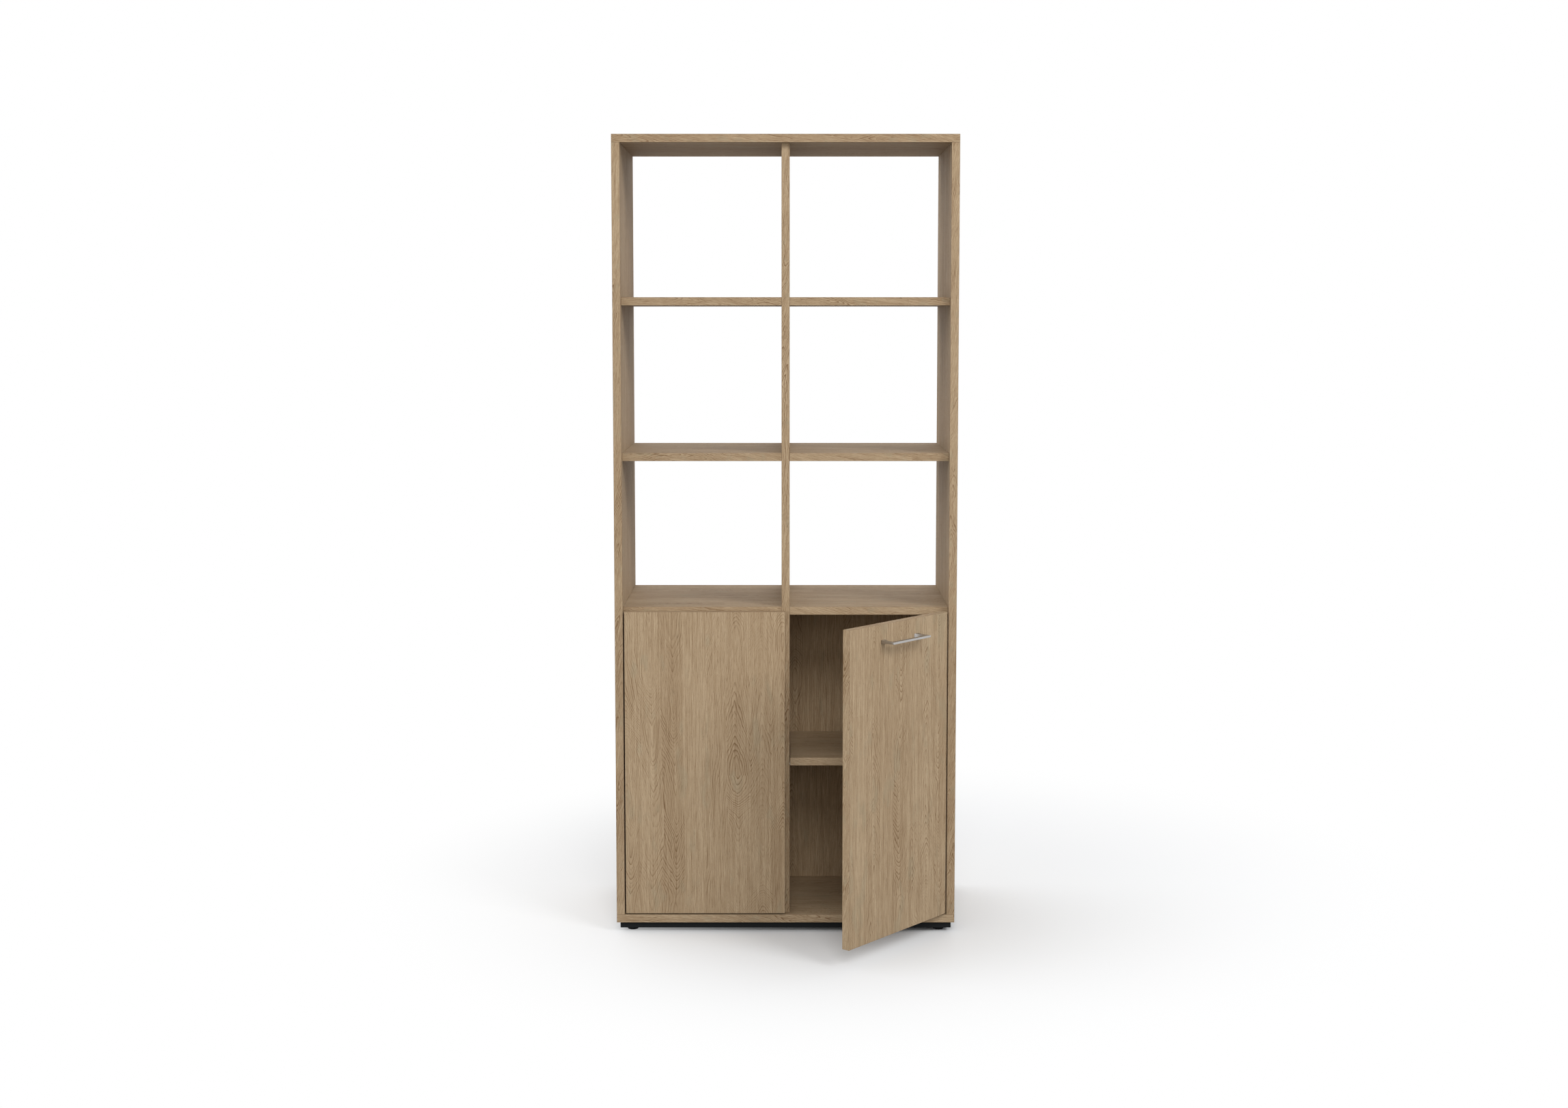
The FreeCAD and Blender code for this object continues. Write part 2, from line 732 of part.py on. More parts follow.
def foot(x, y):
    """A levelling foot: a round pad, its nut and its stem, screwed right in."""
    pad = rod(foot_dia, foot_disc, x, y, 0.0, UP)
    rims = [edge for edge in pad.Edges if edge.BoundBox.ZLength < foot_disc / 2]
    pad = pad.makeFillet(foot_round, rims)
    reach = nut_flats / 2 / math.cos(math.radians(30))
    first = FreeCAD.Vector(reach, 0, 0)
    place = FreeCAD.Vector(x, y, foot_disc)
    ring = [place + FreeCAD.Rotation(UP, 60 * step).multVec(first) for step in range(7)]
    nut = Part.Face(Part.makePolygon(ring)).extrude(UP * nut_high)
    stem = rod(stem_dia, carcass_z - bush_clear - foot_disc, x, y, foot_disc, UP)
    return fuse([pad, nut, stem])


def base():
    screw_holes = base_screws(bore=True)
    access = [rod(access_dia, 2 * tube_wall, x, y, foot_show - tube_wall / 2, UP)
              for x, y in base_screw_places()]
    for name, solid in rails().items():
        keep(f"base_rail_{name}", solid.cut(screw_holes + access))
    keep("base_screws", base_screws())
    for name, (x, y) in foot_places().items():
        keep("base_corner_plates", corner(x, y))
        keep(f"levelling_foot_{name}", foot(x, y))


def save():
    os.makedirs("parts", exist_ok=True)
    for name, solids in parts.items():
        whole = [s for shape in solids for s in shape.Solids]
        shape = whole[0] if len(whole) == 1 else Part.makeCompound(whole)
        shape.exportStep(f"parts/{name}.step")
        print(f"{name}: {len(whole)} solid(s), {shape.Volume / 1000:.1f} cm3, valid {shape.isValid()}")
    print(f"{len(parts)} nodes")


carcass()
loose_shelves()
doors()
base()
save()
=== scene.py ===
import json
import math
import bpy
from mathutils import Matrix, Vector


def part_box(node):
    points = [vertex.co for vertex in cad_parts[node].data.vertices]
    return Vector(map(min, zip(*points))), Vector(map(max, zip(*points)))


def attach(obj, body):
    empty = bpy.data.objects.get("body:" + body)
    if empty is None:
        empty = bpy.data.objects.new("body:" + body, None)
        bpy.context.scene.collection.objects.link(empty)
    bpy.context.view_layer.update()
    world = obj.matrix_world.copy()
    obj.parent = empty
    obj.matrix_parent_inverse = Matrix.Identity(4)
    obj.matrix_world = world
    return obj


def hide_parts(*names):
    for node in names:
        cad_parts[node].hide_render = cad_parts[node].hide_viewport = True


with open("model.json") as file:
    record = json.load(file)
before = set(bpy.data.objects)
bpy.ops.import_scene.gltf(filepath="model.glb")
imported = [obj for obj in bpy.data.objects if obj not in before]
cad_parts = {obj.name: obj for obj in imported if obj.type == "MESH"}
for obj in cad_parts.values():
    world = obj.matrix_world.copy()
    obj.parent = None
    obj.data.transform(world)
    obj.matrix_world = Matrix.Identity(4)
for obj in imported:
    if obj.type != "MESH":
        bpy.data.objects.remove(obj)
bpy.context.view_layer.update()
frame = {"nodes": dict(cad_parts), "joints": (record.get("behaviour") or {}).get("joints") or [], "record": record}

nodes = frame["nodes"]


def paint(red, green, blue):
    # a screen colour, 0 to 255, as the linear value that a socket takes
    def linear(level):
        level /= 255
        return level / 12.92 if level <= 0.04045 else ((level + 0.055) / 1.055) ** 2.4
    return (linear(red), linear(green), linear(blue), 1.0)


def feed(tree, socket, value):
    # a socket takes either a link or a plain value
    if isinstance(value, bpy.types.NodeSocket):
        tree.links.new(value, socket)
    else:
        socket.default_value = value


def calc(tree, operation, *values):
    made = tree.nodes.new("ShaderNodeMath")
    made.operation = operation
    for place, value in enumerate(values):
        feed(tree, made.inputs[place], value)
    return made.outputs[0]


def centred(tree, value, amount=1.0):
    # a random value of 0 to 1 as one that goes as far below zero as above it
    return calc(tree, "MULTIPLY", calc(tree, "SUBTRACT", value, 0.5), amount)


def spread(tree, value, low, high, newLow=0.0, newHigh=1.0):
    # stretches a range to a new one, eased at both ends
    made = tree.nodes.new("ShaderNodeMapRange")
    made.interpolation_type = "SMOOTHSTEP"
    for name, given in (("Value", value), ("From Min", low), ("From Max", high),
                        ("To Min", newLow), ("To Max", newHigh)):
        feed(tree, made.inputs[name], given)
    return made.outputs["Result"]


def join(tree, x, y, z):
    made = tree.nodes.new("ShaderNodeCombineXYZ")
    for place, value in enumerate((x, y, z)):
        feed(tree, made.inputs[place], value)
    return made.outputs[0]


def split(tree, vector):
    made = tree.nodes.new("ShaderNodeSeparateXYZ")
    feed(tree, made.inputs[0], vector)
    return made.outputs[0], made.outputs[1], made.outputs[2]


def noise(tree, vector, detail=1.0, roughness=0.5):
    # one cell to each unit of the vector
    made = tree.nodes.new("ShaderNodeTexNoise")
    feed(tree, made.inputs["Vector"], vector)
    made.inputs["Scale"].default_value = 1.0
    made.inputs["Detail"].default_value = detail
    made.inputs["Roughness"].default_value = roughness
    return made.outputs[0]


def chance(tree, x, y, z):
    # three random numbers that stay the same all over one cell
    made = tree.nodes.new("ShaderNodeTexWhiteNoise")
    made.noise_dimensions = "3D"
    feed(tree, made.inputs["Vector"], join(tree, x, y, z))
    return split(tree, made.outputs["Color"])


def blendColours(tree, amount, first, second):
    made = tree.nodes.new("ShaderNodeMix")
    made.data_type = "RGBA"
    feed(tree, made.inputs["Factor"], amount)
    feed(tree, made.inputs[6], first)
    feed(tree, made.inputs[7], second)
    return made.outputs[2]


def newGroup(name, takes, gives):
    group = bpy.data.node_groups.new(name, "ShaderNodeTree")
    kinds = {"V": "NodeSocketVector", "F": "NodeSocketFloat", "C": "NodeSocketColor"}
    for title, kind in takes.items():
        group.interface.new_socket(name=title, in_out="INPUT", socket_type=kinds[kind])
    for title, kind in gives.items():
        group.interface.new_socket(name=title, in_out="OUTPUT", socket_type=kinds[kind])
    return group, group.nodes.new("NodeGroupInput").outputs, group.nodes.new("NodeGroupOutput").inputs


def useGroup(tree, group, **values):
    made = tree.nodes.new("ShaderNodeGroup")
    made.node_tree = group
    for title, value in values.items():
        feed(tree, made.inputs[title], value)
    return made.outputs


# an oak print: a range reads low, high, and what they become where that isn't 0 and 1
oakFoil = {
    # planks printed side by side
    "staveWide": 0.052,
    "staveLong": 1.35,
    "wander": 0.044,                # sideways drift of the grain lines
    "boardShift": 7.31,             # plank widths across for each unit of a board's seed
    "rowShift": 9.0,                # most plank lengths by which one column is moved along
    "columnDraw": 3.0,              # these two only set random draws apart
    "kindDraw": 5.0,
    # growth lines
    "fall": 10.5,                   # lines across a plank
    "blunt": 0.07,                  # how round a flame's tip is
    "tips": 0.018,                  # from one flame's tip to the next
    "offCentre": 0.4,               # how far flames stand from a plank's middle
    "sway": 11.0,                   # lines by which the tips' spacing varies
    "swayLong": 0.2,
    "swayShift": 40.0,
    "flamed": (0.08, 0.3),          # a plank's draw: straight lines to the first, flames from the second
    "plainStrength": 0.45,          # how strong straight lines are next to flames
    "waves": 5.0,                   # lines by which they bend, broadly and finely
    "ripples": 1.0,
    "sharp": 4.0,                   # how late a line darkens
    "lineEnd": (1.0, 0.88),
    "patchy": (0.38, 0.62, 0.2, 1.0),
    "eachLine": (0.1, 0.9, 0.35, 1.5),
    # the edge strips
    "edgeSeed": 3.7,                # sets their print apart from the face's
    "edgeSlant": 0.15,              # how far the grain runs across a strip
    "edgeTurn": 0.16,               # how much that varies
    "edgeTurns": 1.5,               # how often in a metre
    "edgeDraw": 0.5,                # sets that variation apart from other noise
    "edgeTight": 1.5,               # how much closer the lines are than on a face
    "edgeShort": 2.6,               # how much shorter
    "edgeCalm": 0.75,               # how much the flames are held back
    "edgeLines": 0.6,               # how much stronger the lines are
    # noise: cells in a metre across and along, its start, its octaves and how they fade
    "noise": {
        "drift": (4.5, 1.5, 0.0, 3.0, 0.5),
        "waves": (20.0, 6.0, 5.0, 2.0, 0.5),
        "ripples": (130.0, 16.0, 9.0, 2.0, 0.5),
        "patches": (17.0, 4.0, 13.0, 2.0, 0.5),
        "broad": (26.0, 1.1, 21.0, 2.0, 0.5),
        "streak": (210.0, 5.0, 25.0, 3.0, 0.6),
        "thread": (480.0, 3.5, 27.0, 1.0, 0.5),
        "fibre": (900.0, 24.0, 29.0, 2.0, 0.6),
        "greying": (34.0, 11.0, 41.0, 2.0, 0.5),
    },
    # how much each darkens the foil
    "shade": {
        "edge": 0.04, "ring": 1.02, "broad": 0.4, "streak": 1.0, "thread": 0.8, "fibre": 1.7,
        "plank": 0.18,
    },
    # pores
    "poresAcross": 1400.0,          # cells in a metre
    "poresAlong": 95.0,
    "poresShaken": 9.0,             # how far fibres shift them along the board
    "poresStart": 33.0,
    "poresOpen": (0.56, 0.66),
    "poresInRing": (0.2, 0.9, 0.35, 1.0),
    # knots
    "knotsAcross": 11.0,
    "knotsAlong": 4.5,
    "knotsRare": 0.86,              # a cell's draw above which it has one
    "knotRim": (0.075, 0.02),
    # colours, and the shades at which they set in
    "light": paint(176, 155, 127),
    "middle": paint(160, 138, 110),
    "dark": paint(122, 97, 71),
    "pore": paint(104, 80, 58),
    "grey": paint(152, 142, 118),
    # the colour of the painted highlight along each arris
    "arris": paint(186, 166, 138),
    "paling": (0.1, -0.28),
    "darkening": (0.04, 0.95),
    "greying": (0.58, 0.70, 0.0, 0.3),
    "poreDark": 0.62,
    "knotDark": 0.8,
    "arrisHighlight": 0.25,
    "jointDark": 0.75,
    "arrisHighlightWide": 0.0013,
    "jointWide": 0.0007,
    "jointCore": 0.0002,
    # surface
    "refraction": 1.45,
    "gloss": 0.11,
    "roughness": 0.66,
    "poreRoughness": 0.16,
    "fibreRoughness": 0.12,
    "fibreHigh": 0.5,               # heights are parts of the relief
    "poreHigh": -0.8,
    "ringHigh": -0.25,
    "relief": 0.00012,
    "reliefStrength": 0.6,
}


# where a point lies on a board: across and along the foil's grain, and how far from the arris
def makeBoardLay():
    group, given, result = newGroup(
        "boardLay",
        {"Position": "V", "Normal": "V", "Size": "V", "Seed": "F"},
        {"Across": "F", "Along": "F", "Band": "F", "Arris": "F"},
    )
    wide, thick, long = split(group, given["Position"])
    sizeWide, sizeThick, sizeLong = split(group, given["Size"])
    turned = [calc(group, "ABSOLUTE", part) for part in split(group, given["Normal"])]
    onLongEdge = calc(group, "GREATER_THAN", turned[0], calc(group, "MAXIMUM", turned[1], turned[2]))
    onEnd = calc(group, "GREATER_THAN", turned[2], calc(group, "MAXIMUM", turned[0], turned[1]))
    band = calc(group, "MAXIMUM", onLongEdge, onEnd)
    onFace = calc(group, "SUBTRACT", 1.0, band)

    def pick(first, second, amount):
        return calc(group, "ADD", calc(group, "MULTIPLY", first, calc(group, "SUBTRACT", 1.0, amount)),
                    calc(group, "MULTIPLY", second, amount))

    def fromRim(place, size, hidden):
        # the rim that is the face's own plane doesn't count
        near = calc(group, "MINIMUM", place, calc(group, "SUBTRACT", size, place))
        return calc(group, "ADD", near, hidden)

    # the grain of an edge strip runs a little across it, here more and there less
    turns = calc(group, "MULTIPLY", long, oakFoil["edgeTurns"])
    lean = noise(group, join(group, turns, given["Seed"], oakFoil["edgeDraw"]))
    slanted = calc(group, "MULTIPLY_ADD", long, oakFoil["edgeSlant"], thick)
    slanted = calc(group, "MULTIPLY_ADD", lean, oakFoil["edgeTurn"], slanted)
    slanted = calc(group, "MULTIPLY", slanted, oakFoil["edgeTight"])
    feed(group, result["Across"], pick(wide, slanted, band))
    alongFace = pick(long, wide, onEnd)
    shortened = calc(group, "MULTIPLY", alongFace, oakFoil["edgeShort"])
    feed(group, result["Along"], pick(alongFace, shortened, band))
    # 0 on a face, 1 on a long edge and 2 on an end
    feed(group, result["Band"], calc(group, "ADD", band, onEnd))
    nearest = fromRim(wide, sizeWide, onLongEdge)
    nearest = calc(group, "MINIMUM", nearest, fromRim(thick, sizeThick, onFace))
    feed(group, result["Arris"], calc(group, "MINIMUM", nearest, fromRim(long, sizeLong, onEnd)))
    return group


def makeOakFoil(lay):
    group, given, result = newGroup(
        "oakFoil",
        {"Position": "V", "Normal": "V", "Size": "V", "Seed": "F", "Tone": "F"},
        {"Color": "C", "Roughness": "F", "Height": "F"},
    )
    place = useGroup(group, lay, Position=given["Position"], Normal=given["Normal"],
                     Size=given["Size"], Seed=given["Seed"])
    across, along, band = place["Across"], place["Along"], place["Band"]
    seed = calc(group, "MULTIPLY_ADD", band, oakFoil["edgeSeed"], given["Seed"])

    def field(name):
        sideways, lengthways, start, detail, roughness = oakFoil["noise"][name]
        x = calc(group, "MULTIPLY", across, sideways)
        y = calc(group, "MULTIPLY", along, lengthways)
        return noise(group, join(group, x, y, calc(group, "ADD", seed, start)), detail, roughness)

    # planks side by side, each with its own random numbers
    drift = centred(group, field("drift"), oakFoil["wander"])
    stave = calc(group, "DIVIDE", calc(group, "ADD", across, drift), oakFoil["staveWide"])
    stave = calc(group, "MULTIPLY_ADD", seed, oakFoil["boardShift"], stave)
    column = calc(group, "FLOOR", stave)
    inStave = calc(group, "SUBTRACT", calc(group, "FRACT", stave), 0.5)
    first = chance(group, column, oakFoil["columnDraw"], seed)
    row = calc(group, "DIVIDE", along, oakFoil["staveLong"])
    row = calc(group, "FLOOR", calc(group, "MULTIPLY_ADD", first[0], oakFoil["rowShift"], row))
    plank = chance(group, column, row, seed)
    kind = chance(group, column, row, calc(group, "ADD", seed, oakFoil["kindDraw"]))
    flamed = spread(group, kind[0], *oakFoil["flamed"])

    # growth lines: a bow across the plank that climbs along it makes flames,
    # and its flank alone makes straight lines
    offCentre = calc(group, "SUBTRACT", inStave, centred(group, plank[0], oakFoil["offCentre"]))
    offCentre = calc(group, "ADD", offCentre, calc(group, "SUBTRACT", 1.0, flamed))
    bow = calc(group, "MULTIPLY_ADD", offCentre, offCentre, oakFoil["blunt"] ** 2)
    bow = calc(group, "MULTIPLY", calc(group, "SQRT", bow), oakFoil["fall"])
    sway = noise(group, join(group, calc(group, "DIVIDE", along, oakFoil["swayLong"]),
                             calc(group, "MULTIPLY", plank[1], oakFoil["swayShift"]), seed))
    upOrDown = calc(group, "DIVIDE", calc(group, "SIGN", centred(group, plank[1])), oakFoil["tips"])
    climb = calc(group, "MULTIPLY_ADD", along, upOrDown, centred(group, sway, 2 * oakFoil["sway"]))
    calm = calc(group, "MAXIMUM", calc(group, "MULTIPLY_ADD", band, -oakFoil["edgeCalm"], 1.0),
                1.0 - oakFoil["edgeCalm"])
    climb = calc(group, "MULTIPLY", climb, calc(group, "MULTIPLY", flamed, calm))
    lines = calc(group, "ADD", bow, climb)
    for name in ("waves", "ripples"):
        lines = calc(group, "ADD", lines, centred(group, field(name), oakFoil[name]))
    phase = calc(group, "FRACT", lines)
    ring = calc(group, "POWER", phase, oakFoil["sharp"])
    ring = calc(group, "MULTIPLY", ring, spread(group, phase, *oakFoil["lineEnd"]))

    # lines are strong here and faint there, each differs from the next, and straight ones are fainter
    each = chance(group, calc(group, "FLOOR", lines), column, seed)
    strength = spread(group, field("patches"), *oakFoil["patchy"])
    strength = calc(group, "MULTIPLY", strength, spread(group, each[0], *oakFoil["eachLine"]))
    plain = oakFoil["plainStrength"]
    strength = calc(group, "MULTIPLY", strength, calc(group, "MULTIPLY_ADD", flamed, 1.0 - plain, plain))
    ring = calc(group, "MULTIPLY", ring, strength)

    # streaks and fibres, from broad to fine
    marks = {name: centred(group, field(name)) for name in ("broad", "streak", "thread", "fibre")}
    marks["plank"] = centred(group, plank[2])
    fibre = marks["fibre"]

    # a pore's place along the board is shaken from one fibre to the next
    shaken = calc(group, "MULTIPLY_ADD", fibre, oakFoil["poresShaken"],
                  calc(group, "MULTIPLY", along, oakFoil["poresAlong"]))
    pores = noise(group, join(group, calc(group, "MULTIPLY", across, oakFoil["poresAcross"]), shaken,
                              calc(group, "ADD", seed, oakFoil["poresStart"])))
    pores = spread(group, pores, *oakFoil["poresOpen"])
    pores = calc(group, "MULTIPLY", pores, spread(group, phase, *oakFoil["poresInRing"]))

    # now and then a small dark knot
    cells = group.nodes.new("ShaderNodeTexVoronoi")
    x = calc(group, "MULTIPLY", across, oakFoil["knotsAcross"])
    y = calc(group, "MULTIPLY", along, oakFoil["knotsAlong"])
    feed(group, cells.inputs["Vector"], join(group, x, y, seed))
    cells.inputs["Scale"].default_value = 1.0
    rare = calc(group, "GREATER_THAN", split(group, cells.outputs["Color"])[0], oakFoil["knotsRare"])
    knot = calc(group, "MULTIPLY", spread(group, cells.outputs["Distance"], *oakFoil["knotRim"]), rare)

    # an edge strip is a little darker and more lined than a face
    ring = calc(group, "MULTIPLY", ring, calc(group, "MULTIPLY_ADD", band, oakFoil["edgeLines"], 1.0))
    # a board's tone, partly painted light and shade, makes all of its foil paler or darker
    shade = calc(group, "MULTIPLY_ADD", band, oakFoil["shade"]["edge"], given["Tone"])
    shade = calc(group, "MULTIPLY_ADD", ring, oakFoil["shade"]["ring"], shade)
    for name, mark in marks.items():
        shade = calc(group, "MULTIPLY_ADD", mark, oakFoil["shade"][name], shade)
    pale = spread(group, shade, *oakFoil["paling"])
    colour = blendColours(group, pale, oakFoil["middle"], oakFoil["light"])
    colour = blendColours(group, spread(group, shade, *oakFoil["darkening"]), colour, oakFoil["dark"])
    grey = spread(group, field("greying"), *oakFoil["greying"])
    colour = blendColours(group, grey, colour, oakFoil["grey"])

    # over it the pores and knots, a painted highlight along each arris where its rounding would catch the light,
    # and the dark joint of the edging on it
    arris = spread(group, place["Arris"], oakFoil["arrisHighlightWide"], oakFoil["jointWide"])
    joint = spread(group, place["Arris"], oakFoil["jointWide"], oakFoil["jointCore"])
    for mask, amount, over in ((pores, "poreDark", "pore"), (knot, "knotDark", "pore"),
                               (arris, "arrisHighlight", "arris"), (joint, "jointDark", "pore")):
        covered = calc(group, "MULTIPLY", mask, oakFoil[amount])
        colour = blendColours(group, covered, colour, oakFoil[over])
    feed(group, result["Color"], colour)

    rough = calc(group, "MULTIPLY_ADD", pores, oakFoil["poreRoughness"], oakFoil["roughness"])
    rough = calc(group, "MULTIPLY_ADD", fibre, oakFoil["fibreRoughness"], rough)
    feed(group, result["Roughness"], rough)
    height = calc(group, "MULTIPLY", pores, oakFoil["poreHigh"])
    height = calc(group, "MULTIPLY_ADD", fibre, oakFoil["fibreHigh"], height)
    feed(group, result["Height"], calc(group, "MULTIPLY_ADD", ring, oakFoil["ringHigh"], height))
    return group


def newMaterial(name, **settings):
    material = bpy.data.materials.new(name)
    material.use_nodes = True
    tree = material.node_tree
    shader = tree.nodes["Principled BSDF"]
    for title, value in settings.items():
        shader.inputs[title.replace("_", " ")].default_value = value
    return material, tree, shader


def dress(item, material):
    item.data.materials.clear()
    item.data.materials.append(material)


def bump(tree, shader, height, distance, strength):
    made = tree.nodes.new("ShaderNodeBump")
    made.inputs["Strength"].default_value = strength
    made.inputs["Distance"].default_value = distance
    feed(tree, made.inputs["Height"], height)
    feed(tree, shader.inputs["Normal"], made.outputs[0])


def ownSpace(tree):
    # a piece's own coordinates and normals
    return tree.nodes.new("ShaderNodeTexCoord").outputs


# how a board lies: the directions of its width, its thickness and its grain
restOpen = next(-joint["range_deg"][0] for joint in frame["joints"]
                if joint["name"] == "right_door_hinge")
turn = math.radians(restOpen)
lays = {
    "side": (Vector((0, 1, 0)), Vector((-1, 0, 0)), Vector((0, 0, 1))),
    "front": (Vector((1, 0, 0)), Vector((0, 1, 0)), Vector((0, 0, 1))),
    "shelf": (Vector((0, 1, 0)), Vector((0, 0, 1)), Vector((1, 0, 0))),
    "openDoor": (
        Vector((math.cos(turn), math.sin(turn), 0)),
        Vector((-math.sin(turn), math.cos(turn), 0)),
        Vector((0, 0, 1)),
    ),
}
# each board's lay, and how much darker its foil is than the others': partly the print's own tone, partly painted
# light and shade, with the shelves and top painted darker and the bottom board and loose right shelf paler
boards = {
    "side_left": ("side", 0.04), "side_right": ("side", 0.04), "centre_partition": ("side", 0.0),
    "door_left": ("front", 0.03), "door_right": ("openDoor", 0.0),
    "back_panel_left": ("front", 0.0), "back_panel_right": ("front", 0.0),
    "top_board": ("shelf", 0.09), "bottom_board": ("shelf", -0.12),
    "upper_shelf_left": ("shelf", 0.14), "upper_shelf_right": ("shelf", 0.06),
    "middle_shelf_left": ("shelf", 0.06), "middle_shelf_right": ("shelf", 0.08),
    "cabinet_top_left": ("shelf", 0.03), "cabinet_top_right": ("shelf", 0.0),
    "loose_shelf_left": ("shelf", 0.0), "loose_shelf_right": ("shelf", -0.3),
}
# a board's seed moves its print, and goes up by a step from board to board
seedStart = 11.0
seedStep = 2.37


def laidBox(name, lay):
    # a node's lowest and highest corner, measured along the directions of a lay
    matrix = Matrix(lays[lay])
    placed = [matrix @ corner.co for corner in nodes[name].data.vertices]
    low = Vector([min(point[axis] for point in placed) for axis in range(3)])
    high = Vector([max(point[axis] for point in placed) for axis in range(3)])
    return matrix, low, high


def boardMaterial(name, lay, toneAndShade, seed, foil):
    # the print starts at a corner of the board and is turned with it
    matrix, low, high = laidBox(name, lay)
    material, tree, shader = newMaterial("oak_" + name, IOR=oakFoil["refraction"],
                                         Specular_IOR_Level=oakFoil["gloss"])
    own = ownSpace(tree)
    seat = tree.nodes.new("ShaderNodeMapping")
    facing = tree.nodes.new("ShaderNodeMapping")
    facing.vector_type = "VECTOR"
    feed(tree, seat.inputs["Vector"], own["Object"])
    feed(tree, facing.inputs["Vector"], own["Normal"])
    for mapping in (seat, facing):
        mapping.inputs["Rotation"].default_value = matrix.to_euler()
    seat.inputs["Location"].default_value = -low
    wood = useGroup(tree, foil, Position=seat.outputs[0], Normal=facing.outputs[0], Size=high - low,
                    Seed=seed, Tone=toneAndShade)
    feed(tree, shader.inputs["Base Color"], wood["Color"])
    feed(tree, shader.inputs["Roughness"], wood["Roughness"])
    bump(tree, shader, wood["Height"], oakFoil["relief"], oakFoil["reliefStrength"])
    return material


foil = makeOakFoil(makeBoardLay())
for number, (name, (lay, toneAndShade)) in enumerate(boards.items()):
    dress(nodes[name], boardMaterial(name, lay, toneAndShade, seedStart + seedStep * number, foil))
print(len(boards), "boards have oak foil")


# a finish's grit stretches per axis, its spread is how far the roughness varies
finishes = {
    "satinNickel": {
        "base": {"Metallic": 1.0, "Base_Color": paint(180, 178, 176)},
        "roughness": 0.36, "spread": 0.25, "grit": (260, 260, 2600), "relief": 0.00002,
    },
    "brightNickel": {
        "base": {"Metallic": 1.0, "Base_Color": paint(200, 199, 194)},
        "roughness": 0.24, "spread": 0.25, "grit": (900, 900, 900), "relief": 0.00002,
    },
    "powderCoat": {
        "base": {"Base_Color": paint(24, 26, 27), "Specular_IOR_Level": 0.1},
        "roughness": 0.55, "spread": 0.3, "grit": (1500, 1500, 1500), "relief": 0.00006,
    },
    "blackMoulding": {
        "base": {"Base_Color": paint(22, 22, 23), "Specular_IOR_Level": 0.1},
        "roughness": 0.6, "spread": 0.3, "grit": (900, 900, 900), "relief": 0.00004,
    },
}
gritNoise = {"octaves": 3.0, "fade": 0.6, "reliefStrength": 0.5}
beechWood = {
    "pale": paint(214, 184, 145), "dark": paint(188, 152, 110),
    "roughness": 0.6, "grain": (900, 900, 160),
}


def makeFineNoise():
    # one noise, stretched per axis, for brushed and moulded surfaces
    group, given, result = newGroup("fineNoise", {"Position": "V", "Stretch": "V"}, {"Value": "F"})
    scaled = group.nodes.new("ShaderNodeVectorMath")
    scaled.operation = "MULTIPLY"
    feed(group, scaled.inputs[0], given["Position"])
    feed(group, scaled.inputs[1], given["Stretch"])
    feed(group, result["Value"],
         noise(group, scaled.outputs[0], gritNoise["octaves"], gritNoise["fade"]))
    return group


fineNoise = makeFineNoise()


def fineNoiseOn(tree, stretch):
    return useGroup(tree, fineNoise, Position=ownSpace(tree)["Object"], Stretch=stretch)["Value"]


def finishMaterial(name):
    finish = finishes[name]
    material, tree, shader = newMaterial(name, **finish["base"])
    grit = fineNoiseOn(tree, finish["grit"])
    varied = calc(tree, "SUBTRACT", grit, 0.5)
    feed(tree, shader.inputs["Roughness"],
         calc(tree, "MULTIPLY_ADD", varied, finish["spread"], finish["roughness"]))
    bump(tree, shader, grit, finish["relief"], gritNoise["reliefStrength"])
    return material


def beechMaterial():
    material, tree, shader = newMaterial("beech", Roughness=beechWood["roughness"])
    grain = fineNoiseOn(tree, beechWood["grain"])
    feed(tree, shader.inputs["Base Color"],
         blendColours(tree, grain, beechWood["pale"], beechWood["dark"]))
    return material


satin = finishMaterial("satinNickel")
moulded = finishMaterial("blackMoulding")
slotMaterial = {
    "dowel_wood": beechMaterial(), "black_steel": finishMaterial("powderCoat"), "black_plastic": moulded,
    "satin_metal": satin, "nickelled_steel": finishMaterial("brightNickel"),
}
slotOf = {row["node"]: row["material_slot"] for row in frame["record"]["subparts"]}
for name, slot in slotOf.items():
    if slot in slotMaterial:
        dress(nodes[name], slotMaterial[slot])
print("fittings, base and feet have their finishes")


squareOn = 0.9              # how squarely a face looks along an axis to count as facing it
nearly = 1e-5               # metres that a face may be off the plane it is looked for on
smoothUnder = 40.0          # degrees


def selectOnly(*items):
    bpy.ops.object.select_all(action="DESELECT")
    for item in items:
        item.select_set(True)
    bpy.context.view_layer.objects.active = items[0]


def begin(name, primitive, **settings):
    # a new primitive alone in the selection, with its place and size already in its mesh
    bpy.ops.object.select_all(action="DESELECT")
    primitive(**settings)
    piece = bpy.context.object
    piece.name = name
    bpy.ops.object.transform_apply(location=True, rotation=True, scale=True)
    return piece


def pickFaces(piece, wanted):
    # selects only the faces whose middle and normal pass the test, and stays in edit mode
    bpy.ops.object.mode_set(mode="EDIT")
    bpy.ops.mesh.select_mode(type="FACE")
    bpy.ops.mesh.select_all(action="DESELECT")
    bpy.ops.object.mode_set(mode="OBJECT")
    for face in piece.data.polygons:
        face.select = wanted(face.center, face.normal)
    bpy.ops.object.mode_set(mode="EDIT")


def extrude(x, y, z):
    bpy.ops.mesh.extrude_region_move(TRANSFORM_OT_translate={"value": (x, y, z)})


